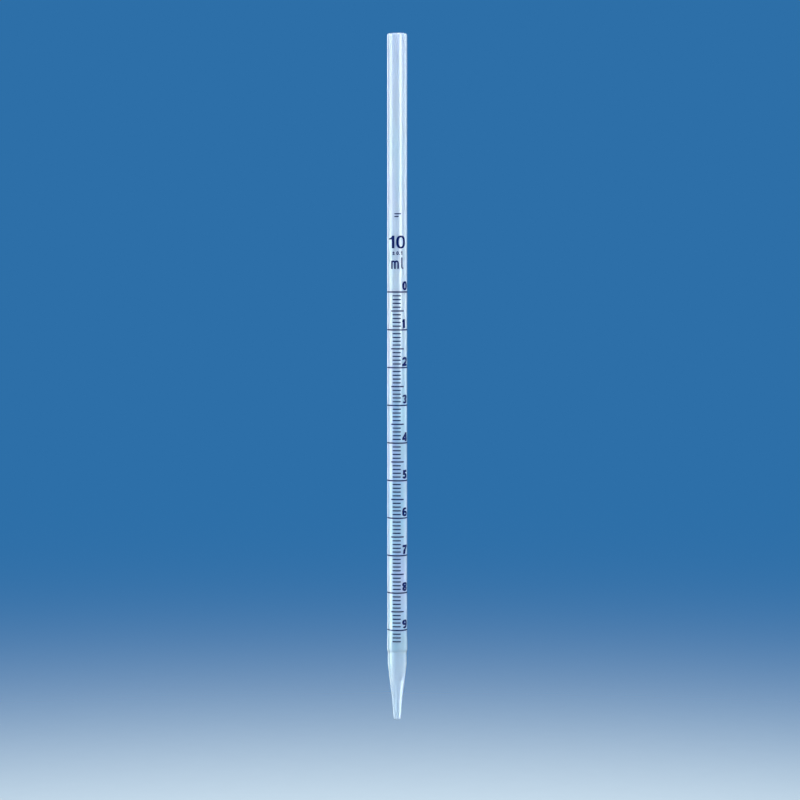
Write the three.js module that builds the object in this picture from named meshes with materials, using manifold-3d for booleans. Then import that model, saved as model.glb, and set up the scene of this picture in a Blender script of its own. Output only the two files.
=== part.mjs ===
// A 10 ml graduated measuring pipette in translucent polypropylene, held upright with its jet down.
// Two plastic pieces carry the liquid: an extruded barrel, and a moulded jet whose spigot is welded
// into the barrel. The rest is the print on the barrel, each deposit of ink a thin curved solid.
//
// Millimetres, +Z up. The origin is the centre of the rim at the suction end, so every depth below
// is a distance under the rim. The scale faces -Y, and angles on the barrel run from there to +X.

import * as THREE from "three";
import { mergeVertices } from "three/addons/utils/BufferGeometryUtils.js";
import { TessellateModifier } from "three/addons/modifiers/TessellateModifier.js";
import Module from "manifold-3d";

const wasm = await Module();
wasm.setup();

// Barrel: a plain tube, stretched a little over the jet's spigot at its lower end
const barrelDiameter = 10;
const boreDiameter = 8.18;
const rimRound = 0.45;
const boreChamfer = 0.15;
const seamDepth = 311.5;
const flareStart = 303;
const flareEnd = 307;
const flareGrowth = 0.12;
const barrelEndRound = { height: 1.6, inset: 0.3 };

// Jet, outside: spigot, collar, cone and nozzle
const totalLength = 346.5;
const weldGap = 0.05;
const spigotLength = 6;
const spigotChamfer = { height: 1.5, inset: 0.25 };
const collarDiameter = 9.54;
const weldBead = 0.1;
const collarEnd = 317.3;
const coneTop = { depth: 321.8, diameter: 8.66 };
const nozzleTop = { depth: 338.4, diameter: 4.8 };
const tipDiameter = 3.6;
const tipRound = 0.5;

// Jet, inside: throat, funnel and outlet
const throatTopDiameter = 7.3;
const throatEnd = { depth: 317.8, diameter: 7.1 };
const funnelEnd = { depth: 331.5, diameter: 1.7 };
const outletDiameter = 1.3;

// Scale: one millilitre is as long as the bore needs to hold it
const cubicMillimetresPerMl = 1000;
const millilitre = cubicMillimetresPerMl / (Math.PI * (boreDiameter / 2) ** 2);
const zeroDepth = 129.2;
const fullMarks = 10;
const halfMarks = 9;
const fullMarkSweep = 202;
const halfMarkStart = -36.5;
const halfMarkEnd = 40.5;

// Print
const inkClearance = 0.02;
const inkThickness = 0.04;
const lineWidth = 0.66;
const numeralHeight = 4.5;
const numeralWidth = 3.5;
const narrowNumeralWidth = 1.8;
const numeralStroke = 0.95;
const numeralAngle = 30.5;
const numeralRise = 0.55;

// Faceting
const sides = 48;
const curveSteps = 10;
const longestChord = 0.6;

const degrees = Math.PI / 180;
const inkRadius = barrelDiameter / 2 + inkClearance;

const polypropylene = () => new THREE.MeshStandardMaterial({ color: 0xc6d9e8, roughness: 0.28, metalness: 0 });
const ink = () => new THREE.MeshStandardMaterial({ color: 0x1c1f5e, roughness: 0.55, metalness: 0 });

const pipette = new THREE.Group();

function addPiece(name, geometry, material) {
  const mesh = new THREE.Mesh(geometry, material);
  mesh.name = name;
  pipette.add(mesh);
}

// A closed outline of [radius, depth] points, counterclockwise with the rim upwards, turned about Z.
function turned(outline) {
  const points = outline.map(([radius, depth]) => new THREE.Vector2(radius, -depth));
  points.push(points[0].clone());
  return new THREE.LatheGeometry(points, sides).rotateX(Math.PI / 2);
}

// Points on a quarter-ellipse from one [radius, depth] to another, bulging towards the given corner.
function rounded(from, to, corner, steps) {
  const curve = new THREE.QuadraticBezierCurve(
    new THREE.Vector2(...from),
    new THREE.Vector2(...corner),
    new THREE.Vector2(...to),
  );
  return curve.getPoints(steps).map((point) => [point.x, point.y]);
}

function barrel() {
  const outer = barrelDiameter / 2;
  const bore = boreDiameter / 2;
  const flared = outer + flareGrowth;
  const flaredBore = bore + flareGrowth;
  const { height, inset } = barrelEndRound;
  return turned([
    [flaredBore, seamDepth],
    ...rounded([flared - inset, seamDepth], [flared, seamDepth - height], [flared, seamDepth], 3),
    [flared, flareEnd],
    [outer, flareStart],
    ...rounded([outer, rimRound], [outer - rimRound, 0], [outer, 0], 2),
    [bore + boreChamfer, 0],
    [bore, boreChamfer],
    [bore, flareStart],
    [flaredBore, flareEnd],
  ]);
}

function jet() {
  const shoulder = seamDepth + weldGap;
  const spigot = boreDiameter / 2 + flareGrowth - weldGap;
  const spigotTop = seamDepth - spigotLength;
  const collar = collarDiameter / 2;
  const tip = tipDiameter / 2;
  return turned([
    [outletDiameter / 2, totalLength],
    ...rounded([tip - tipRound, totalLength], [tip, totalLength - tipRound], [tip, totalLength], 3),
    [nozzleTop.diameter / 2, nozzleTop.depth],
    ...rounded([coneTop.diameter / 2, coneTop.depth], [collar, collarEnd], [collar, collarEnd + 2], 3),
    [collar, shoulder + 2 * weldBead],
    [collar + weldBead, shoulder + weldBead],
    [collar + weldBead, shoulder],
    [spigot, shoulder],
    [spigot, spigotTop + spigotChamfer.height],
    [spigot - spigotChamfer.inset, spigotTop],
    [throatTopDiameter / 2, spigotTop],
    [throatEnd.diameter / 2, throatEnd.depth],
    [funnelEnd.diameter / 2, funnelEnd.depth],
  ]);
}

// Wraps a flat piece of print onto the barrel: x becomes an angle, y a height and z the ink's thickness.
function wrapped(geometry, startAngle, depth) {
  const position = geometry.getAttribute("position");
  for (let i = 0; i < position.count; i += 1) {
    const angle = startAngle * degrees + position.getX(i) / inkRadius;
    const radius = inkRadius + position.getZ(i);
    position.setXYZ(i, radius * Math.sin(angle), -radius * Math.cos(angle), position.getY(i) - depth);
  }
  return geometry;
}

function line(startAngle, endAngle, depth, width = lineWidth) {
  const length = (endAngle - startAngle) * degrees * inkRadius;
  const steps = Math.ceil(length / longestChord);
  const flat = new THREE.BoxGeometry(length, width, inkThickness, steps, 1, 1);
  flat.translate(length / 2, 0, inkThickness / 2);
  return wrapped(flat, startAngle, depth);
}

// Strokes are drawn in a glyph's own box, whose height is 1. Each gives the flat shape of its ink.
function along(curve, stroke, steps) {
  const left = [];
  const right = [];
  for (let i = 0; i <= steps; i += 1) {
    const point = curve.getPoint(i / steps);
    const tangent = curve.getTangent(i / steps);
    const side = new THREE.Vector2(-tangent.y, tangent.x).multiplyScalar(stroke / 2);
    left.push(point.clone().add(side));
    right.push(point.clone().sub(side));
  }
  return new THREE.Shape([...right, ...left.reverse()]);
}

function bar(x1, y1, x2, y2, stroke) {
  return along(new THREE.LineCurve(new THREE.Vector2(x1, y1), new THREE.Vector2(x2, y2)), stroke, 1);
}

function bow(x, y, radiusX, radiusY, from, to, stroke) {
  const curve = new THREE.EllipseCurve(x, y, radiusX, radiusY, from * degrees, to * degrees, to < from);
  return along(curve, stroke, curveSteps);
}

function ring(x, y, radiusX, radiusY, stroke) {
  const half = stroke / 2;
  const shape = new THREE.Shape();
  shape.absellipse(x, y, radiusX + half, radiusY + half, 0, 2 * Math.PI);
  const hole = new THREE.Path();
  hole.absellipse(x, y, radiusX - half, radiusY - half, 0, 2 * Math.PI, true);
  shape.holes.push(hole);
  return shape;
}

// The figures, as functions of the glyph's width w and stroke s, both in glyph heights.
const figures = [
  (w, s) => [ring(w / 2, 0.5, (w - s) / 2, (1 - s) / 2, s)],
  (w, s) => [bar(w - s / 2, 0, w - s / 2, 1, s), bar(s * 0.15, 0.77, w - s * 0.6, 0.88, s * 0.8)],
  (w, s) => [
    bow(w / 2, 1 - w / 2, (w - s) / 2, (w - s) / 2, 175, -35, s),
    bar(w * 0.86, 0.53, s * 0.55, s * 0.3, s),
    bar(0, s / 2, w, s / 2, s),
  ],
  (w, s) => [
    bow(w * 0.47, 0.75, w * 0.36, 0.25 - s / 2, 160, -100, s),
    bow(w * 0.47, 0.27, (w - s) / 2, 0.27 - s / 2, 100, -165, s),
  ],
  (w, s) => [
    bar(w * 0.66, 0, w * 0.66, 1, s),
    bar(0, 0.28, w, 0.28, s * 0.85),
    bar(s * 0.4, 0.26, w * 0.62, 0.95, s * 0.8),
  ],
  (w, s) => [
    bar(w * 0.2, 1 - s / 2, w * 0.94, 1 - s / 2, s),
    bar(w * 0.24, 1 - s / 2, w * 0.16, 0.46, s * 0.85),
    bow(w * 0.47, 0.32, (w - s) / 2, 0.32 - s / 2, 140, -160, s),
  ],
  (w, s) => [
    ring(w / 2, 0.31, (w - s) / 2, 0.31 - s / 2, s),
    bow(w / 2, 0.5, (w - s) / 2, (1 - s) / 2, 35, 205, s),
  ],
  (w, s) => [bar(w * 0.06, 1 - s / 2, w, 1 - s / 2, s), bar(w * 0.87, 0.97, w * 0.4, 0, s)],
  (w, s) => [
    ring(w / 2, 0.74, w * 0.33, 0.26 - s / 2, s),
    ring(w / 2, 0.285, (w - s) / 2, 0.285 - s / 2, s),
  ],
  (w, s) => [
    ring(w / 2, 0.69, (w - s) / 2, 0.31 - s / 2, s),
    bow(w / 2, 0.5, (w - s) / 2, (1 - s) / 2, 215, 385, s),
  ],
];

const plusMinus = (w, s) => [
  bar(0, 0.6, w, 0.6, s),
  bar(w / 2, 0, w / 2, 1, s),
  bar(0, s / 2, w, s / 2, s),
];

const fullPoint = (w, s) => [bar(0, s / 2, w, s / 2, s)];

const letterM = (w, s) => [
  bar(s / 2, 0, s / 2, 0.98, s),
  bow(w * 0.29, 0.62, w * 0.29 - s / 2, 0.38 - s / 2, 180, 0, s),
  bar(w / 2 + s * 0.05, 0, w / 2 + s * 0.05, 0.66, s),
  bow(w * 0.75, 0.62, w * 0.25 - s / 2, 0.38 - s / 2, 180, 0, s),
  bar(w - s / 2, 0, w - s / 2, 0.66, s),
];

const letterL = (w, s) => [
  bar(s / 2, 0.16, s / 2, 1, s),
  bow(w, 0.17, w - s / 2, 0.17 - s / 2, 180, 265, s),
];

function solid(geometry) {
  geometry.deleteAttribute("normal");
  geometry.deleteAttribute("uv");
  const merged = mergeVertices(geometry);
  const vertProperties = new Float32Array(merged.getAttribute("position").array);
  const triVerts = new Uint32Array(merged.index.array);
  return new wasm.Manifold(new wasm.Mesh({ numProp: 3, vertProperties, triVerts }));
}

// Joins a glyph's strokes while they lie flat, cuts the result finely enough to bend, and wraps it.
function glyph(draw, width, height, stroke, startAngle, depth) {
  const strokes = draw(width / height, stroke / height).map((shape) => {
    const flat = new THREE.ExtrudeGeometry(shape, {
      depth: inkThickness,
      bevelEnabled: false,
      curveSegments: curveSteps,
    });
    return solid(flat.scale(height, height, 1));
  });
  const joined = strokes.reduce((whole, next) => whole.add(next)).getMesh();
  const geometry = new THREE.BufferGeometry();
  geometry.setAttribute("position", new THREE.BufferAttribute(joined.vertProperties, 3));
  geometry.setIndex(new THREE.BufferAttribute(joined.triVerts, 1));
  // Only the way round the barrel bends, so the height is pressed flat while long edges are cut.
  const press = 0.02;
  geometry.scale(1, press, 1);
  const cut = new TessellateModifier(longestChord, 12).modify(geometry);
  cut.scale(1, 1 / press, 1);
  return mergeVertices(wrapped(cut, startAngle, depth), 1e-5);
}

const depthOf = (volume) => zeroDepth + volume * millilitre;

addPiece("barrel", barrel(), polypropylene());
addPiece("jet", jet(), polypropylene());

for (let volume = 0; volume < fullMarks; volume += 1) {
  const depth = depthOf(volume);
  addPiece(`full_mark_${volume}`, line(-fullMarkSweep / 2, fullMarkSweep / 2, depth), ink());
  const bottom = depth - lineWidth / 2 - numeralRise;
  const width = volume === 1 ? narrowNumeralWidth : numeralWidth;
  const figure = glyph(figures[volume], width, numeralHeight, numeralStroke, numeralAngle, bottom);
  addPiece(`numeral_${volume}`, figure, ink());
}

for (let volume = 0; volume < halfMarks; volume += 1) {
  addPiece(`half_mark_${volume}`, line(halfMarkStart, halfMarkEnd, depthOf(volume + 0.5)), ink());
}

// The label above the scale: [name, glyph, width, height, stroke, start angle, depth of its foot]
const label = [
  ["capacity_one", figures[1], 3.4, 6.3, 1.5, -55.5, 107.3],
  ["capacity_zero", figures[0], 5.0, 6.5, 1.2, -6.5, 107.4],
  ["tolerance_sign", plusMinus, 1.15, 1.7, 0.32, -28, 110.6],
  ["tolerance_zero", figures[0], 1.2, 1.8, 0.36, -5, 110.6],
  ["tolerance_point", fullPoint, 0.38, 0.38, 0.38, 11.5, 110.6],
  ["tolerance_one", figures[1], 0.8, 1.8, 0.38, 21, 110.6],
  ["unit_m", letterM, 4.15, 4.2, 0.8, -37, 117.6],
  ["unit_l", letterL, 1.2, 5.7, 0.62, 24, 117.6],
];

for (const [name, draw, width, height, stroke, startAngle, depth] of label) {
  addPiece(name, glyph(draw, width, height, stroke, startAngle, depth), ink());
}

// A plain two-line mark where the grade of plastic is printed
addPiece("grade_mark_upper", line(-16, 22, 90.0, 0.55), ink());
addPiece("grade_mark_lower", line(-16, 8, 91.4, 0.55), ink());

export default pipette;
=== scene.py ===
import math

import bmesh
import bpy
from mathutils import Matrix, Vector, noise


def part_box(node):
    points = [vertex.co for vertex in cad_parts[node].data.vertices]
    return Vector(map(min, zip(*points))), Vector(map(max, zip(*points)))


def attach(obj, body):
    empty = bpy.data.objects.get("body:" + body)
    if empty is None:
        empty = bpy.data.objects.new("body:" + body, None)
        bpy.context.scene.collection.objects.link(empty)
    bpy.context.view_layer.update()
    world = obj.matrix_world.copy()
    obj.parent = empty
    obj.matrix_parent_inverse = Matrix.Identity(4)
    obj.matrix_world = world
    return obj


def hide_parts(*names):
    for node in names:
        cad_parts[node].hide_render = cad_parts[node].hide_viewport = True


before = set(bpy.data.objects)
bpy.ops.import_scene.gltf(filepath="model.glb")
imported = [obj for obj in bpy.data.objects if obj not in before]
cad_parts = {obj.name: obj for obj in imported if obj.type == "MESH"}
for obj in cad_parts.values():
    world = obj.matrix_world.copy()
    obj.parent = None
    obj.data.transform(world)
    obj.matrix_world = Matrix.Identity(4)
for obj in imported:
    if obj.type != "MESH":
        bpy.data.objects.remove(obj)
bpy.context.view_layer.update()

mm = 0.001
collection = bpy.context.scene.collection

# Places read from the frame, in metres
barrelLow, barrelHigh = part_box("barrel")
jetLow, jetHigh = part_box("jet")
rimZ = barrelHigh.z
seamZ = barrelLow.z
tipZ = jetLow.z
spigotTopZ = jetHigh.z
flaredRadius = barrelHigh.x
zeroZ = sum(corner.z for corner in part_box("full_mark_0")) / 2
nineZ = sum(corner.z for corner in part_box("full_mark_9")) / 2
millilitre = (zeroZ - nineZ) / 9      # its length on the scale


# Camera

camera = {
    "level": -110 * mm,       # the lens is level with this height
    "distance": 1195 * mm,    # from the barrel's axis
    "aimZ": -183.8 * mm,      # what is in the middle of the frame
    "aimX": 1.4 * mm,
    "lens": 106.6,            # focal length, as Blender gives it
    "sensor": 36,             # width of the sensor, likewise
    "clip": 50 * mm,          # nothing nearer than this shows
}


def makeCamera():
    data = bpy.data.cameras.new("camera")
    data.lens = camera["lens"]
    data.sensor_width = camera["sensor"]
    data.clip_start = camera["clip"]
    obj = bpy.data.objects.new("camera", data)
    collection.objects.link(obj)
    obj.location = (camera["aimX"], -camera["distance"], camera["level"])
    aim = Vector((camera["aimX"], 0, camera["aimZ"]))
    obj.rotation_euler = (aim - obj.location).to_track_quat("-Z", "Y").to_euler()
    bpy.context.scene.camera = obj
    bpy.context.scene.view_settings.view_transform = "Standard"


makeCamera()
print("camera ready")


# Small helpers

def linear(red, green, blue):
    # 0-255 screen colour to the values that shaders use
    def channel(value):
        value /= 255
        return value / 12.92 if value <= 0.04045 else ((value + 0.055) / 1.055) ** 2.4

    return (channel(red), channel(green), channel(blue), 1)


def addMesh(name, verts, faces):
    mesh = bpy.data.meshes.new(name)
    mesh.from_pydata(verts, [], faces)
    mesh.validate()
    mesh.polygons.foreach_set("use_smooth", [True] * len(mesh.polygons))
    mesh.update()
    obj = bpy.data.objects.new(name, mesh)
    collection.objects.link(obj)
    return obj


def spaced(start, end, step):
    # numbers from start to end, both included, about one step apart
    count = max(1, round(abs(end - start) / step))
    return [start + (end - start) * i / count for i in range(count + 1)]


def quarter(start, end, corner, steps):
    # a rounded edge from one (radius, z) to another, bulging towards the corner
    points = []
    for i in range(steps + 1):
        t = i / steps
        points.append(tuple(
            (1 - t) ** 2 * a + 2 * t * (1 - t) * c + t * t * b
            for a, c, b in zip(start, corner, end)
        ))
    return points


def turned(name, outline, sides, moved):
    # a closed (radius, z) outline turned round the axis; moved shifts the radius of a point
    verts = []
    for radius, z in outline:
        for i in range(sides):
            angle = 2 * math.pi * i / sides
            r = radius + moved(radius, z, angle)
            verts.append((r * math.sin(angle), -r * math.cos(angle), z))
    faces = []
    rows = len(outline)
    for row in range(rows):
        after = (row + 1) % rows
        for i in range(sides):
            j = (i + 1) % sides
            faces.append((row * sides + i, row * sides + j, after * sides + j, after * sides + i))
    return addMesh(name, verts, faces)


def roundNoise(angle, z, turns, length, seed):
    # smooth noise on a cylinder, without a seam
    return noise.noise(Vector((math.sin(angle) * turns, math.cos(angle) * turns, z / length + seed)))


# Barrel: an extruded tube, stretched a little over the jet's spigot

barrel = {
    "radius": 5.0 * mm,
    "bore": 4.09 * mm,                     # also a radius
    "rimRound": (0.68 * mm, 1.2 * mm),     # across the wall, and along the axis
    "boreRound": 0.15 * mm,
    "endRound": (0.3 * mm, 2.2 * mm),      # across and along, at the weld to the jet
    "flareTop": 8.5 * mm,                  # where the stretching starts, above the seam
    "flareLength": 4 * mm,
    "sides": 160,
    "ring": 1.6 * mm,                      # space between rings of vertices
    "waviness": 0.002 * mm,                # how uneven the drawn surface is
    "waves": ((1, 0.9, 38 * mm, 3), (0.5, 2.2, 14 * mm, 11)),     # share, turns, length, seed
    "weld": 0.06 * mm,                     # how uneven the weld is
    "weldBead": (1.0 * mm, 0.9 * mm),      # its height above the seam, and its width
    "weldWave": (4.5, 1.1 * mm, 29),       # turns, length, seed
}


def flare(z):
    # 0 above the spigot, 1 where the tube is fully stretched
    t = min(1, max(0, (seamZ + barrel["flareTop"] - z) / barrel["flareLength"]))
    return t * t * (3 - 2 * t)


def makeBarrel():
    growth = flaredRadius - barrel["radius"]
    radius, bore, ring = barrel["radius"], barrel["bore"], barrel["ring"]
    across, down = barrel["rimRound"]
    endAcross, endUp = barrel["endRound"]
    outer = [(radius + growth * flare(z), z) for z in spaced(seamZ + endUp, rimZ - down, ring)]
    inner = [(bore + growth * flare(z), z) for z in spaced(rimZ - barrel["boreRound"], seamZ, ring * 2)]
    outline = quarter((flaredRadius - endAcross, seamZ), outer[0], (flaredRadius, seamZ), 8)
    outline += outer[1:]
    outline += quarter(outer[-1], (radius - across, rimZ), (radius, rimZ), 10)[1:]
    outline += quarter((bore + barrel["boreRound"], rimZ), inner[0], (bore, rimZ), 4)
    outline += inner[1:]

    def drawn(r, z, angle):
        wave = sum(share * roundNoise(angle, z, *grain) for share, *grain in barrel["waves"])
        height, width = barrel["weldBead"]
        bead = math.exp(-((z - seamZ - height) / width) ** 2) if r > (radius + bore) / 2 else 0
        weld = roundNoise(angle, z, *barrel["weldWave"]) * barrel["weld"] * bead
        return wave * barrel["waviness"] + weld

    return turned("barrel_tube", outline, barrel["sides"], drawn)


# Jet: a moulded nozzle welded into the barrel

jet = {
    # a pair is a radius and a distance below the seam, where no note says otherwise
    "tip": 1.8 * mm,
    "tipRound": 0.55 * mm,
    "tipTaper": (0.12 * mm, 2 * mm),       # how much wider it is, this far above its end
    "nozzleTop": (2.4 * mm, 26.9 * mm),
    "coneTop": (4.33 * mm, 10.3 * mm),
    "collarFoot": (4.77 * mm, 5.6 * mm),
    "collarTop": (4.77 * mm, 1.2 * mm),
    "shoulder": (4.77 * mm, 0.5 * mm),     # corner of the swelling at the weld
    "shoulderTop": (4.87 * mm, 0.05 * mm),
    "spigot": 4.17 * mm,
    "spigotTaper": (0.25 * mm, 1.2 * mm),  # across and along, at its top
    "throatTop": 3.65 * mm,
    "throatEnd": (3.55 * mm, 6.3 * mm),
    "funnelEnd": (0.85 * mm, 20 * mm),
    "outlet": 0.65 * mm,
    "sides": 144,
    "rings": (0.7 * mm, 0.9 * mm),         # space between rings of vertices, outside and inside
    "waviness": 0.006 * mm,
    "wave": (1.1, 9 * mm, 5),              # turns, length, seed
    "evenTop": 1 * mm,                     # no waves above this place, below the seam
    "evenRadius": 1.04 * mm,               # and none in a bore narrower than this
    "partingLine": 0.03 * mm,              # height of the two mould lines
    "partingEdge": 0.995,                  # nearer to 1 for narrower ones
    "midWall": (1.6 * mm, 0.115),          # radius at the end, and slope, of a cone within the wall
}


def smoothThrough(points, step):
    # a smooth (radius, z) line through the points, as a monotone cubic in z
    line = []
    slopes = [(b[0] - a[0]) / (b[1] - a[1]) for a, b in zip(points, points[1:])]
    ends = [slopes[0]] + [2 * a * b / (a + b) if a * b > 0 else 0 for a, b in zip(slopes, slopes[1:])]
    ends.append(slopes[-1])
    for index, (a, b) in enumerate(zip(points, points[1:])):
        height = b[1] - a[1]
        for z in spaced(a[1], b[1], step)[:-1]:
            t = (z - a[1]) / height
            radius = (2 * t ** 3 - 3 * t ** 2 + 1) * a[0] + (3 * t ** 2 - 2 * t ** 3) * b[0]
            radius += (t ** 3 - 2 * t ** 2 + t) * height * ends[index]
            radius += (t ** 3 - t ** 2) * height * ends[index + 1]
            line.append((radius, z))
    line.append(points[-1])
    return line


def below(pair):
    return pair[0], seamZ - pair[1]


def makeJet():
    tip, edge, spigot = jet["tip"], jet["tipRound"], jet["spigot"]
    wider, up = jet["tipTaper"]
    across, down = jet["spigotTaper"]
    outside = smoothThrough([
        (tip, tipZ + edge),
        (tip + wider, tipZ + up),
        below(jet["nozzleTop"]),
        below(jet["coneTop"]),
        below(jet["collarFoot"]),
        below(jet["collarTop"]),
    ], jet["rings"][0])
    inside = smoothThrough([
        (jet["throatTop"], spigotTopZ),
        below(jet["throatEnd"]),
        below(jet["funnelEnd"]),
        (jet["outlet"], tipZ),
    ], jet["rings"][1])
    shoulderTop = below(jet["shoulderTop"])
    outline = quarter((tip - edge, tipZ), outside[0], (tip, tipZ), 8)
    outline += outside[1:]
    outline += quarter(outside[-1], shoulderTop, below(jet["shoulder"]), 6)[1:]
    outline += [(spigot, shoulderTop[1]), (spigot, spigotTopZ - down), (spigot - across, spigotTopZ)]
    outline += inside

    def moulded(r, z, angle):
        if z > seamZ - jet["evenTop"] or r < jet["evenRadius"]:
            return 0
        start, slope = jet["midWall"]
        edgeOfLine = jet["partingEdge"]
        ridge = max(0, (math.sin(angle) ** 2 - edgeOfLine) / (1 - edgeOfLine))
        if r <= start + (z - tipZ) * slope:
            ridge = 0     # the bore has no mould lines
        return jet["partingLine"] * ridge + roundNoise(angle, z, *jet["wave"]) * jet["waviness"]

    return turned("jet_nozzle", outline, jet["sides"], moulded)


barrelTube = makeBarrel()
jetNozzle = makeJet()
print("barrel and jet ready")


# Print: every deposit of ink is a thin solid that follows the barrel

ink = {
    "thickness": 0.025 * mm,
    "lift": 0.012 * mm,         # its underside, above the barrel's mean radius
    "cadLift": 0.06 * mm,       # the outside of the CAD's print, above the barrel
    "bend": 0.22 * mm,          # widest flat facet
    "tenths": 94,               # lines on the scale, from zero down
    "tenthFrom": -27.0,         # degrees round the barrel, from the front towards +X
    "tenthTo": 20.5,
    "tenthDrift": 0.7,          # how far one line may lie beside the next, in degrees
    "lineWidth": 0.61 * mm,     # of the tenths
    "upright": 1.42 * mm,       # pen widths of the figures
    "level": 1.0 * mm,
}


def inkRadius(z):
    return barrel["radius"] + (flaredRadius - barrel["radius"]) * flare(z) + ink["lift"]


def along(curve, steps, wide, thin):
    # the outline of a pen stroke along a curve of x, y points; upright strokes are wide, level ones thin
    left, right = [], []
    for i in range(steps + 1):
        t = i / steps
        x, y = curve(t)
        ahead, behind = curve(min(1, t + 0.001)), curve(max(0, t - 0.001))
        dx, dy = ahead[0] - behind[0], ahead[1] - behind[1]
        length = math.hypot(dx, dy)
        offset = (-dy / length * wide / 2, dx / length * thin / 2)
        left.append((x + offset[0], y + offset[1]))
        right.append((x - offset[0], y - offset[1]))
    return right + left[::-1]


def bar(x1, y1, x2, y2, wide, thin=None):
    return [along(lambda t: (x1 + (x2 - x1) * t, y1 + (y2 - y1) * t), 1, wide, thin or wide)]


def onOval(x, y, radiusX, radiusY, angle, squareness=2.35):
    c, s = math.cos(math.radians(angle)), math.sin(math.radians(angle))
    power = 2 / squareness
    return x + radiusX * math.copysign(abs(c) ** power, c), y + radiusY * math.copysign(abs(s) ** power, s)


def bow(x, y, radiusX, radiusY, start, end, wide, thin):
    return [along(lambda t: onOval(x, y, radiusX, radiusY, start + (end - start) * t), 28, wide, thin)]


def ring(x, y, radiusX, radiusY, wide, thin):
    turn = [360 * i / 56 for i in range(56)]
    outside = [onOval(x, y, radiusX + wide / 2, radiusY + thin / 2, a) for a in turn]
    inside = [onOval(x, y, radiusX - wide / 2, radiusY - thin / 2, a) for a in turn]
    return [outside, inside]


# A figure is a list of pen strokes in a box of height 1 and width w; v is the width of the upright
# strokes and h of the level ones. A stroke is a list of loops.
def zero(w, v, h):
    return [ring(w / 2, 0.5, (w - v) / 2, (1 - h) / 2, v, h)]


def one(w, v, h):
    stem = w - v
    return [
        bar(w - v / 2, 0, w - v / 2, 1, v),
        [[(w - v / 2, 1), (stem + v * 0.12, 1), (stem - v * 0.12, 0.89), (stem * 0.62, 0.83),
          (0, 0.81), (0, 0.7), (w - v / 2, 0.7)]],
    ]


def two(w, v, h):
    return [
        bow(w / 2, 0.70, (w - v * 1.12) / 2, 0.30 - h / 2, 182, -42, v * 1.12, h),
        bar(w * 0.8, 0.54, v * 0.66, h * 0.55, v * 1.12, h * 1.12),
        bar(0, h * 0.56, w, h * 0.56, h * 1.12),
    ]


def three(w, v, h):
    return [
        bow(w * 0.47, 0.745, w * 0.35, 0.255 - h / 2, 172, -95, v * 1.1, h),
        bow(w * 0.48, 0.275, (w - v * 1.1) / 2 - 0.01, 0.275 - h / 2, 96, -172, v * 1.1, h),
        bar(w * 0.34, 0.52, w * 0.72, 0.52, h),
    ]


def four(w, v, h):
    stem = w * 0.72
    return [
        bar(stem, 0, stem, 1, v * 1.12),
        bar(0, 0.27, w, 0.27, h * 1.12),
        [[(0, 0.25), (0, 0.38), (stem - v * 0.3, 1), (stem, 1), (stem, 0.86), (v * 0.72, 0.25)]],
    ]


def five(w, v, h):
    return [
        bar(w * 0.17, 1 - h * 0.58, w * 0.94, 1 - h * 0.58, h * 1.16),
        [[(w * 0.1, 0.45), (w * 0.15, 1), (w * 0.15 + v, 1), (w * 0.1 + v, 0.45)]],
        bow(w * 0.48, 0.325, (w - v * 1.12) / 2, 0.325 - h * 0.56, 138, -165, v * 1.12, h * 1.12),
    ]


def six(w, v, h):
    return [
        ring(w / 2, 0.315, (w - v) / 2, 0.315 - h / 2, v, h),
        bow(w / 2, 0.5, (w - v) / 2, (1 - h) / 2, 46, 200, v, h),
    ]


def seven(w, v, h):
    return [
        bar(w * 0.02, 1 - h * 0.58, w, 1 - h * 0.58, h * 1.16),
        [[(w, 1), (w, 0.86), (w * 0.7, 0.5), (w * 0.56, 0),
          (w * 0.54 - v, 0), (w * 0.6 - v, 0.42), (w * 0.74, 0.9)]],
    ]


def eight(w, v, h):
    return [
        ring(w / 2, 0.745, w * 0.345, 0.255 - h / 2, v * 0.92, h),
        ring(w / 2, 0.285, (w - v) / 2, 0.285 - h / 2, v, h),
    ]


def nine(w, v, h):
    return [
        ring(w / 2, 0.685, (w - v) / 2, 0.315 - h / 2, v, h),
        bow(w / 2, 0.5, (w - v) / 2, (1 - h) / 2, 226, 380, v, h),
    ]


def plusMinus(w, v, h):
    return [bar(0, 0.62, w, 0.62, h), bar(w / 2, 0, w / 2, 1, v), bar(0, h / 2, w, h / 2, h)]


def fullPoint(w, v, h):
    return [bar(0, 0.5, w, 0.5, 1)]


def letterM(w, v, h):
    arch = (w + v) / 4 - v / 2
    return [
        bar(v / 2, 0, v / 2, 0.97, v),
        bow(v / 2 + arch, 0.6, arch, 0.4 - h / 2, 180, 0, v, h),
        bar(w / 2, 0, w / 2, 0.64, v),
        bow(w / 2 + arch, 0.6, arch, 0.4 - h / 2, 180, 0, v, h),
        bar(w - v / 2, 0, w - v / 2, 0.64, v),
    ]


def letterL(w, v, h):
    return [bar(v / 2, 0.16, v / 2, 1, v), bow(w, 0.17, w - v / 2, 0.17 - h / 2, 180, 262, v, h)]


def plainLine(w, v, h):
    edge = 0.15
    corners = ((w - edge, 1 - edge, 0), (edge, 1 - edge, 90), (edge, edge, 180), (w - edge, edge, 270))
    return [[[
        (x + edge * math.cos(a), y + edge * math.sin(a))
        for x, y, start in corners
        for a in (math.radians(start + step * 30) for step in range(4))
    ]]]


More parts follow.
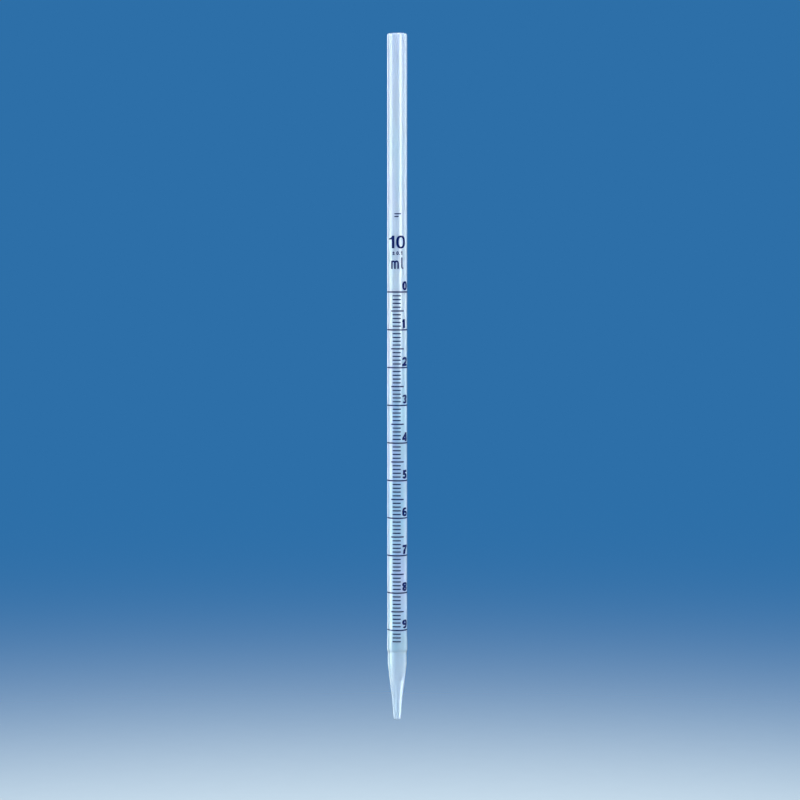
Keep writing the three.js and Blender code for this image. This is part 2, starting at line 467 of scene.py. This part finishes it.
def flatSolid(loops):
    # one stroke as a flat slab, its first loop the outside and any second one the hole
    work = bmesh.new()
    rims = []
    for loop in loops:
        bottom = [work.verts.new((x, y, 0)) for x, y in loop]
        top = [work.verts.new((x, y, 1)) for x, y in loop]
        rims.append((bottom, top))
        for i in range(len(loop)):
            j = (i + 1) % len(loop)
            work.faces.new((bottom[i], bottom[j], top[j], top[i]))
    if len(rims) == 1:
        work.faces.new(rims[0][0])
        work.faces.new(rims[0][1])
    else:
        for level in (0, 1):
            outside, inside = rims[0][level], rims[1][level]
            for i in range(len(outside)):
                j = (i + 1) % len(outside)
                work.faces.new((outside[i], outside[j], inside[j], inside[i]))
    bmesh.ops.recalc_face_normals(work, faces=work.faces)
    mesh = bpy.data.meshes.new("stroke")
    work.to_mesh(mesh)
    work.free()
    obj = bpy.data.objects.new("stroke", mesh)
    collection.objects.link(obj)
    return obj


def joined(strokes):
    # the strokes of a figure as one slab
    whole = flatSolid(strokes[0])
    others = [flatSolid(stroke) for stroke in strokes[1:]]
    for other in others:
        union = whole.modifiers.new("union", "BOOLEAN")
        union.operation = "UNION"
        union.solver = "EXACT"
        union.object = other
    graph = bpy.context.evaluated_depsgraph_get()
    mesh = bpy.data.meshes.new_from_object(whole.evaluated_get(graph))
    for obj in [whole] + others:
        bpy.data.objects.remove(obj)
    return mesh


def wrapOnBarrel(mesh, sweep, foot, height):
    # cuts a slab into narrow strips and bends it round the barrel
    work = bmesh.new()
    work.from_mesh(mesh)
    low = min(v.co.x for v in work.verts)
    high = max(v.co.x for v in work.verts)
    bottom = min(v.co.y for v in work.verts)
    top = max(v.co.y for v in work.verts)
    start, end = sweep
    cuts = max(2, math.ceil((end - start) * barrel["radius"] / ink["bend"]))
    for i in range(1, cuts):
        x = low + (high - low) * i / cuts
        geometry = work.verts[:] + work.edges[:] + work.faces[:]
        bmesh.ops.bisect_plane(work, geom=geometry, dist=1e-6, plane_co=(x, 0, 0), plane_no=(1, 0, 0))
    for v in work.verts:
        angle = start + (end - start) * (v.co.x - low) / (high - low)
        z = foot + height * (v.co.y - bottom) / (top - bottom)
        r = inkRadius(z) + v.co.z * ink["thickness"]
        v.co = (r * math.sin(angle), -r * math.cos(angle), z)
    bmesh.ops.remove_doubles(work, verts=work.verts, dist=1e-7)
    bmesh.ops.recalc_face_normals(work, faces=work.faces)
    return work


def sweepOf(node):
    # the angles round the barrel that a CAD deposit of ink covers
    low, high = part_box(node)
    outside = max(abs(low.x), abs(high.x), abs(low.y), abs(high.y))
    if high.y > 0:
        end = math.acos(-high.y / outside)
        return -end, end
    radius = barrel["radius"] + ink["cadLift"]
    return math.asin(max(-1, low.x / radius)), math.asin(min(1, high.x / radius))


def addInk(name, work):
    # a finished bmesh as a piece of print
    mesh = bpy.data.meshes.new(name)
    work.to_mesh(mesh)
    work.free()
    obj = bpy.data.objects.new(name, mesh)
    collection.objects.link(obj)
    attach(obj, "root")
    return obj


def printed(name, shape, node, wide=mm, thin=mm):
    # one deposit of ink in the place of its CAD node; wide and thin are pen widths
    low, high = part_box(node)
    start, end = sweepOf(node)
    height = high.z - low.z
    width = (end - start) * barrel["radius"]
    slab = joined(shape(width / height, wide / height, thin / height))
    obj = addInk(name, wrapOnBarrel(slab, (start, end), low.z, height))
    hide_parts(node)
    return obj


def makeScale():
    figures = [zero, one, two, three, four, five, six, seven, eight, nine]
    pens = ink["upright"], ink["level"]
    pieces = []
    for volume, figure in enumerate(figures):
        pieces.append(printed(f"figure_{volume}", figure, f"numeral_{volume}", *pens))
        pieces.append(printed(f"line_{volume}_ml", plainLine, f"full_mark_{volume}"))
    for volume in range(9):
        pieces.append(printed(f"line_{volume}_5_ml", plainLine, f"half_mark_{volume}"))
    return pieces


label = {
    # piece: shape, CAD node, upright and level pen widths
    "label_one": (one, "capacity_one", 1.42 * mm, 1.4 * mm),
    "label_zero": (zero, "capacity_zero", 1.32 * mm, 0.9 * mm),
    "label_plus_minus": (plusMinus, "tolerance_sign", 0.42 * mm, 0.38 * mm),
    "label_tolerance_zero": (zero, "tolerance_zero", 0.44 * mm, 0.4 * mm),
    "label_point": (fullPoint, "tolerance_point"),
    "label_tolerance_one": (one, "tolerance_one", 0.42 * mm, 0.38 * mm),
    "label_m": (letterM, "unit_m", 0.84 * mm, 0.8 * mm),
    "label_l": (letterL, "unit_l", 0.6 * mm, 0.55 * mm),
    "grade_line_upper": (plainLine, "grade_mark_upper"),
    "grade_line_lower": (plainLine, "grade_mark_lower"),
}


def makeLabel():
    return [printed(name, *values) for name, values in label.items()]


def makeTenths():
    # the short lines, which are all one piece
    height = ink["lineWidth"]
    start, end = math.radians(ink["tenthFrom"]), math.radians(ink["tenthTo"])
    width = (end - start) * barrel["radius"] / height
    slab = joined(plainLine(width, 0, 0))
    whole = bmesh.new()
    for step in range(ink["tenths"]):
        if step % 5 == 0:
            continue      # a full or a middle line
        foot = zeroZ - step * millilitre / 10 - height / 2
        drift = math.radians(ink["tenthDrift"]) * noise.noise(Vector((step * 1.7, 0, 0)))
        work = wrapOnBarrel(slab, (start + drift, end + drift), foot, height)
        mesh = bpy.data.meshes.new("line")
        work.to_mesh(mesh)
        work.free()
        whole.from_mesh(mesh)
        bpy.data.meshes.remove(mesh)
    return addInk("tenth_lines", whole)


deposits = makeScale() + makeLabel() + [makeTenths()]
print("print ready:", len(deposits), "pieces")


# Effects that the materials share, each a node group with named inputs and outputs
def newGroup(name, inputs, outputs):
    tree = bpy.data.node_groups.new(name, "ShaderNodeTree")
    for title, kind, value in inputs:
        socket = tree.interface.new_socket(name=title, in_out="INPUT", socket_type=kind)
        socket.default_value = value
    for title, kind in outputs:
        tree.interface.new_socket(name=title, in_out="OUTPUT", socket_type=kind)
    return tree, tree.nodes.new("NodeGroupInput"), tree.nodes.new("NodeGroupOutput")


def place(tree, kind, settings=None, values=None):
    # adds a node, sets its properties and plain socket values, and links the sockets given as sockets
    node = tree.nodes.new(kind)
    for key, value in (settings or {}).items():
        setattr(node, key, value)
    for key, value in (values or {}).items():
        if isinstance(value, bpy.types.NodeSocket):
            tree.links.new(value, node.inputs[key])
        else:
            node.inputs[key].default_value = value
    return node


def maths(tree, operation, a, b=0.0, c=0.0):
    return place(tree, "ShaderNodeMath", {"operation": operation}, {0: a, 1: b, 2: c}).outputs[0]


def remap(tree, value, low, high, start=0.0, end=1.0):
    # turns the range low to high into start to end
    return place(tree, "ShaderNodeMapRange", None, {
        "Value": value, "From Min": low, "From Max": high, "To Min": start, "To Max": end,
    }).outputs[0]


def cloud(tree, where, scale, detail):
    # plain noise
    return place(tree, "ShaderNodeTexNoise", None, {
        "Vector": where, "Scale": scale, "Detail": detail,
    }).outputs["Fac"]


def blend(tree, share, first, second):
    # a mix of two colours
    return place(tree, "ShaderNodeMix", {"data_type": "RGBA"}, {0: share, 6: first, 7: second}).outputs[2]


def position(tree):
    return tree.nodes.new("ShaderNodeTexCoord").outputs["Object"]


streak = {
    "roughness": 0.55,        # of the fine noise
    "broadScale": 0.22,       # of the broad streaks, against the fine ones
    "broadShare": 1.6,        # their height against the fine ones
    "height": 0.4,
    "haze": (0.35, 0.7),      # where in the broad noise the haze starts, and where it is full
}


def makeDrawnStreaks():
    # faint lines along the axis, as a die or a mould leaves them
    tree, given, result = newGroup(
        "drawnStreaks",
        [("Fineness", "NodeSocketFloat", 900.0), ("Length", "NodeSocketFloat", 0.02)],
        [("Height", "NodeSocketFloat"), ("Haze", "NodeSocketFloat")],
    )
    where = position(tree)
    fineness = given.outputs["Fineness"]
    stretch = place(tree, "ShaderNodeCombineXYZ", None, {"X": 1.0, "Y": 1.0, "Z": given.outputs["Length"]})
    drawn = place(tree, "ShaderNodeVectorMath", {"operation": "MULTIPLY"}, {0: where, 1: stretch.outputs[0]})
    fine = place(tree, "ShaderNodeTexNoise", None, {
        "Vector": drawn.outputs[0], "Scale": fineness, "Detail": 3.0, "Roughness": streak["roughness"],
    })
    broad = cloud(tree, drawn.outputs[0], maths(tree, "MULTIPLY", fineness, streak["broadScale"]), 1.0)
    both = maths(tree, "MULTIPLY_ADD", broad, streak["broadShare"], fine.outputs["Fac"])
    tree.links.new(maths(tree, "MULTIPLY", both, streak["height"]), result.inputs["Height"])
    tree.links.new(remap(tree, broad, *streak["haze"]), result.inputs["Haze"])
    return tree


wearMarks = {
    "webs": ((0.5, 420.0), (1.9, 560.0)),   # turn in radians and scale of each web of hairlines
    "webDraw": 0.06,                        # smaller for straighter hairlines
    "hairline": 0.025,                      # width of one, against the web's meshes
    "patches": 160.0,                       # scale of the worn patches
    "patchEdge": (0.52, 0.68),              # where in the noise a patch starts, and where it is full
    "specks": 520.0,                        # scale of the places for specks
    "speckEdge": (0.05, 0.11),              # where a speck starts to fade, and where it has gone
    "speckGap": 0.86,                       # share of the places that stay without a speck
}


def makeHandling():
    # hairline scratches and small specks from use
    tree, given, result = newGroup(
        "handling",
        [("Scratches", "NodeSocketFloat", 0.5), ("Specks", "NodeSocketFloat", 0.5)],
        [("Mask", "NodeSocketFloat"), ("Speck", "NodeSocketFloat")],
    )
    where = position(tree)
    lines = []
    for turn, scale in wearMarks["webs"]:
        tilted = place(tree, "ShaderNodeMapping", None, {
            "Vector": where, "Rotation": (0.4 * turn, turn, 0.2), "Scale": (1.0, 1.0, wearMarks["webDraw"]),
        })
        web = place(tree, "ShaderNodeTexVoronoi", {"feature": "DISTANCE_TO_EDGE"}, {
            "Vector": tilted.outputs[0], "Scale": scale,
        })
        lines.append(remap(tree, web.outputs["Distance"], 0.0, wearMarks["hairline"], 1.0, 0.0))
    worn = remap(tree, cloud(tree, where, wearMarks["patches"], 2.0), *wearMarks["patchEdge"])
    scratched = maths(tree, "MULTIPLY", maths(tree, "MAXIMUM", *lines), worn)
    dots = place(tree, "ShaderNodeTexVoronoi", None, {
        "Vector": where, "Scale": wearMarks["specks"], "Randomness": 1.0,
    })
    size = remap(tree, dots.outputs["Distance"], *wearMarks["speckEdge"], 1.0, 0.0)
    chance = place(tree, "ShaderNodeSeparateColor", None, {"Color": dots.outputs["Color"]}).outputs[0]
    speck = maths(tree, "MULTIPLY", size, maths(tree, "GREATER_THAN", chance, wearMarks["speckGap"]))
    for value, amount, title in ((scratched, "Scratches", "Mask"), (speck, "Specks", "Speck")):
        tree.links.new(maths(tree, "MULTIPLY", value, given.outputs[amount]), result.inputs[title])
    return tree


toneDriftAndShade = {
    "low": zeroZ - 3.5 * millilitre,     # painted shade: the milk has its darker, bluer low tone below this height
    "high": zeroZ - millilitre,          # and its unshaded upper tone above this one
    "draw": 0.22,                        # smaller for longer drifts along the axis
    "clouds": (("Cool", 130.0), ("Warm", 90.0)),     # tones, each with the scale of its noise
    "edge": (0.42, 0.72),                # where in the noise a tone starts, and where it is full
}


def makeMilkTintAndShade():
    # slow drifts of tone in the milky plastic, and painted shade: a darker, bluer milk lower down
    tree, given, result = newGroup(
        "milkTintAndShade",
        [
            ("Milk", "NodeSocketColor", (0.86, 0.92, 0.97, 1)),
            ("Shaded Milk", "NodeSocketColor", (0.7, 0.85, 0.97, 1)),
            ("Cool", "NodeSocketColor", (0.7, 0.92, 0.95, 1)),
            ("Warm", "NodeSocketColor", (0.8, 0.8, 0.99, 1)),
            ("Amount", "NodeSocketFloat", 0.5),
        ],
        [("Color", "NodeSocketColor")],
    )
    where = position(tree)
    drawn = place(tree, "ShaderNodeMapping", None, {"Vector": where, "Scale": (1.0, 1.0, toneDriftAndShade["draw"])})
    height = place(tree, "ShaderNodeSeparateXYZ", None, {0: where}).outputs[2]
    # painted shade: the milk turns darker and bluer lower down, where less light falls
    low = remap(tree, height, toneDriftAndShade["low"], toneDriftAndShade["high"], 1.0, 0.0)
    color = blend(tree, low, given.outputs["Milk"], given.outputs["Shaded Milk"])
    for tone, scale in toneDriftAndShade["clouds"]:
        spread = remap(tree, cloud(tree, drawn.outputs[0], scale, 1.0), *toneDriftAndShade["edge"])
        share = maths(tree, "MULTIPLY", spread, given.outputs["Amount"])
        color = blend(tree, share, color, given.outputs[tone])
    tree.links.new(color, result.inputs["Color"])
    return tree


drawnStreaks = makeDrawnStreaks()
handling = makeHandling()
milkTintAndShade = makeMilkTintAndShade()


def newMaterial(name):
    material = bpy.data.materials.new(name)
    material.use_nodes = True
    tree = material.node_tree
    shader = next(node for node in tree.nodes if node.type == "BSDF_PRINCIPLED")
    return material, tree, shader


def groupNode(tree, group, values):
    node = tree.nodes.new("ShaderNodeGroup")
    node.node_tree = group
    for key, value in values.items():
        node.inputs[key].default_value = value
    return node


def setPlain(shader, values):
    for key, value in values.items():
        shader.inputs[key].default_value = value


tubeLook = {
    "milk": linear(232, 241, 250),
    # the milk lower down is painted shade, darker and bluer where less light falls
    "shadedMilk": linear(198, 226, 249),
    "tint": 0.8,                   # how much the tone drifts
    "fineness": 900,               # streaks across a metre
    "length": 0.015,               # width of a streak over its length
    "scratches": 0.5,
    "specks": 0.7,
    "roughness": 0.3,
    "haze": 0.1,                   # roughness that the broad streaks add
    "wornRoughness": 0.25,         # and that scratches add
    "gloss": 1.0,
    "wornGloss": 0.5,              # share of the gloss that scratches take
    "glossRoughness": 0.17,
    "bump": 0.045,
    "relief": 0.02 * mm,
    "speckHeight": 0.8,
    "clear": 0.62,                 # share of the light that goes straight through
    "index": 1.49,
    "spread": (1.0, 1.05, 1.1),    # how far red, green and blue light wander in the milk
    "depth": 2 * mm,
}
# the nozzle is all in the lower, painted-shade tone, which is paler and greyer here
nozzleLook = dict(
    tubeLook, shadedMilk=linear(224, 236, 243), fineness=700, length=0.05,
    roughness=0.34, clear=0.74, bump=0.02, depth=0.8 * mm,
)


def makeMilkyPlastic(name, look):
    material, tree, shader = newMaterial(name)
    tones = {"Milk": look["milk"], "Shaded Milk": look["shadedMilk"], "Amount": look["tint"]}
    # the tint carries the random drifts of tone and the painted shade lower down
    tint = groupNode(tree, milkTintAndShade, tones)
    streaks = groupNode(tree, drawnStreaks, {"Fineness": look["fineness"], "Length": look["length"]})
    wear = groupNode(tree, handling, {"Scratches": look["scratches"], "Specks": look["specks"]})
    tree.links.new(tint.outputs["Color"], shader.inputs["Base Color"])
    rough = maths(tree, "MULTIPLY_ADD", streaks.outputs["Haze"], look["haze"], look["roughness"])
    rough = maths(tree, "MULTIPLY_ADD", wear.outputs["Mask"], look["wornRoughness"], rough)
    tree.links.new(rough, shader.inputs["Roughness"])
    lost = -look["wornGloss"] * look["gloss"]
    gloss = maths(tree, "MULTIPLY_ADD", wear.outputs["Mask"], lost, look["gloss"])
    tree.links.new(gloss, shader.inputs["Coat Weight"])
    specks = maths(tree, "MULTIPLY", wear.outputs["Speck"], look["speckHeight"])
    height = maths(tree, "ADD", specks, streaks.outputs["Height"])
    bump = place(tree, "ShaderNodeBump", None, {
        "Strength": look["bump"], "Distance": look["relief"], "Height": height,
    })
    tree.links.new(bump.outputs[0], shader.inputs["Normal"])
    setPlain(shader, {
        "IOR": look["index"],
        "Transmission Weight": look["clear"],
        "Subsurface Weight": 1,
        "Subsurface Radius": look["spread"],
        "Subsurface Scale": look["depth"],
        "Coat Roughness": look["glossRoughness"],
        "Coat IOR": look["index"],
    })
    return material


barrelTube.data.materials.append(makeMilkyPlastic("milkyTube", tubeLook))
jetNozzle.data.materials.append(makeMilkyPlastic("milkyNozzle", nozzleLook))


inkLook = {
    "full": linear(1, 16, 66),
    "thin": linear(6, 46, 122),      # where the ink covers less
    "grain": 2600.0,                 # scale of the uneven cover
    "coverEdge": (0.35, 0.72),       # where in the grain the ink starts to thin, and where it is thinnest
    "thinnest": 0.45,                # share of the thin tone at most
    "scratches": 0.6,
    "specks": 0.8,
    "roughness": 0.45,
    "grainRoughness": 0.2,
    "mirror": 0.02,                  # specular level under the gloss
    "gloss": 0.2,
    "glossRoughness": 0.1,
    "bump": 0.3,
    "relief": 0.01 * mm,
}


def makeInk():
    material, tree, shader = newMaterial("scaleInk")
    wear = groupNode(tree, handling, {"Scratches": inkLook["scratches"], "Specks": inkLook["specks"]})
    grain = cloud(tree, position(tree), inkLook["grain"], 3.0)
    cover = remap(tree, grain, *inkLook["coverEdge"], 0.0, inkLook["thinnest"])
    tone = blend(tree, maths(tree, "MAXIMUM", cover, wear.outputs["Mask"]), inkLook["full"], inkLook["thin"])
    tree.links.new(tone, shader.inputs["Base Color"])
    rough = maths(tree, "MULTIPLY_ADD", grain, inkLook["grainRoughness"], inkLook["roughness"])
    tree.links.new(rough, shader.inputs["Roughness"])
    bump = place(tree, "ShaderNodeBump", None, {
        "Strength": inkLook["bump"], "Distance": inkLook["relief"], "Height": grain,
    })
    tree.links.new(bump.outputs[0], shader.inputs["Normal"])
    setPlain(shader, {
        "Specular IOR Level": inkLook["mirror"],
        "Coat Weight": inkLook["gloss"],
        "Coat Roughness": inkLook["glossRoughness"],
    })
    return material


scaleInk = makeInk()
for deposit in deposits:
    deposit.data.materials.append(scaleInk)
print("materials ready")

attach(barrelTube, "root")
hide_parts("barrel")
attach(jetNozzle, "root")
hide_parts("jet")
print("plastic pieces placed")


# Floor, air and light; lengths in metres

studio = {
    "floorDrop": 0.36,            # from the jet's end to the floor
    "floorRings": (0.5, 1.5, 3.5, 6.5),
    "floorSides": 64,
    "floorColor": linear(227, 227, 218),
    "floorGrain": 40.0,
    "floorShade": 0.97,           # the grain's darker tone, against the floor's own
    "floorRoughness": 0.85,
    "floorMirror": 0.2,
    "fadeStart": 1.5,             # where the floor starts to fade, measured from the rim
    "fadeLength": 0.53,
    "fadeSharpness": 4,
    "air": linear(45, 111, 168),
    "airStrength": 1.0,
    "lamp": (0.93, 0.99, 1.0),    # colour of every light
}


def floorMesh():
    sides, z = studio["floorSides"], tipZ - studio["floorDrop"]
    verts = [(0, 0, z)]
    faces = []
    for level, radius in enumerate(studio["floorRings"]):
        for i in range(sides):
            angle = 2 * math.pi * i / sides
            verts.append((radius * math.cos(angle), radius * math.sin(angle), z))
        base = 1 + level * sides
        for i in range(sides):
            j = (i + 1) % sides
            if level == 0:
                faces.append((0, base + i, base + j))
            else:
                faces.append((base - sides + i, base + i, base + j, base - sides + j))
    return addMesh("studio_floor", verts, faces)


def makeFloor():
    floor = floorMesh()
    material, tree, shader = newMaterial("paleFloor")
    setPlain(shader, {"Roughness": studio["floorRoughness"], "Specular IOR Level": studio["floorMirror"]})
    where = position(tree)
    pale = studio["floorColor"]
    darker = tuple(value * studio["floorShade"] for value in pale[:3]) + (1,)
    tone = blend(tree, cloud(tree, where, studio["floorGrain"], 2.0), pale, darker)
    tree.links.new(tone, shader.inputs["Base Color"])
    away = place(tree, "ShaderNodeVectorMath", {"operation": "LENGTH"}, {0: where})
    beyond = maths(tree, "SUBTRACT", away.outputs["Value"], studio["fadeStart"])
    sharpness = studio["fadeSharpness"]
    grown = maths(tree, "EXPONENT", maths(tree, "MULTIPLY", beyond, sharpness / studio["fadeLength"]))
    seen = maths(tree, "POWER", maths(tree, "ADD", grown, 1.0), -1 / sharpness)
    behind = tree.nodes.new("ShaderNodeNewGeometry").outputs["Backfacing"]
    hidden = maths(tree, "MAXIMUM", maths(tree, "SUBTRACT", 1.0, seen), behind)
    clear = tree.nodes.new("ShaderNodeBsdfTransparent")
    mix = place(tree, "ShaderNodeMixShader", None, {0: hidden, 1: shader.outputs[0], 2: clear.outputs[0]})
    tree.links.new(mix.outputs[0], tree.nodes["Material Output"].inputs["Surface"])
    floor.data.materials.append(material)
    return floor


def makeAir():
    world = bpy.data.worlds.new("studioAir")
    bpy.context.scene.world = world
    world.use_nodes = True
    background = world.node_tree.nodes["Background"]
    background.inputs["Color"].default_value = studio["air"]
    background.inputs["Strength"].default_value = studio["airStrength"]


softLights = {
    # name: degrees from the camera round to the right, height, distance, width, tall, watts
    "left_wall": (-83, -0.06, 1.1, 0.85, 1.1, 12.5),
    "right_strip": (40, 0.24, 1.2, 0.6, 1.1, 15.5),
    "right_wall": (112, -0.12, 1.2, 0.6, 1.1, 4.5),
    "back_left": (-150, -0.12, 1.3, 0.5, 1.1, 4),
    "left_low": (-80, -0.55, 0.9, 0.6, 0.3, 1.5),
    "overhead": (20, 1.4, 0.35, 0.6, 0.6, 20),
}
floorLight = {"height": 1.6, "size": 5.0, "watts": 146}


def areaLight(name, width, tall, watts):
    data = bpy.data.lights.new(name, "AREA")
    data.shape = "RECTANGLE"
    data.size = width
    data.size_y = tall
    data.energy = watts
    data.color = studio["lamp"]
    obj = bpy.data.objects.new(name, data)
    collection.objects.link(obj)
    obj.visible_camera = False
    return obj


def lightOnly(light, target, state):
    # the light reaches only the target, or everything but the target
    chosen = bpy.data.collections.new(light.name + "_reach")
    chosen.objects.link(target)
    chosen.collection_objects[0].light_linking.link_state = state
    light.light_linking.receiver_collection = chosen


def makeLights(floor):
    size = floorLight["size"]
    overFloor = areaLight("over_floor", size, size, floorLight["watts"])
    overFloor.location = (0, 0, floorLight["height"])
    lightOnly(overFloor, floor, "INCLUDE")
    for name, (angle, height, distance, width, tall, watts) in softLights.items():
        obj = areaLight(name, width, tall, watts)
        turn = math.radians(angle)
        obj.location = (distance * math.sin(turn), -distance * math.cos(turn), height)
        aim = Vector((0, 0, (rimZ + tipZ) / 2)) - obj.location
        obj.rotation_euler = aim.to_track_quat("-Z", "Y").to_euler()
        lightOnly(obj, floor, "EXCLUDE")


makeAir()
makeLights(makeFloor())
print("floor and lights ready")
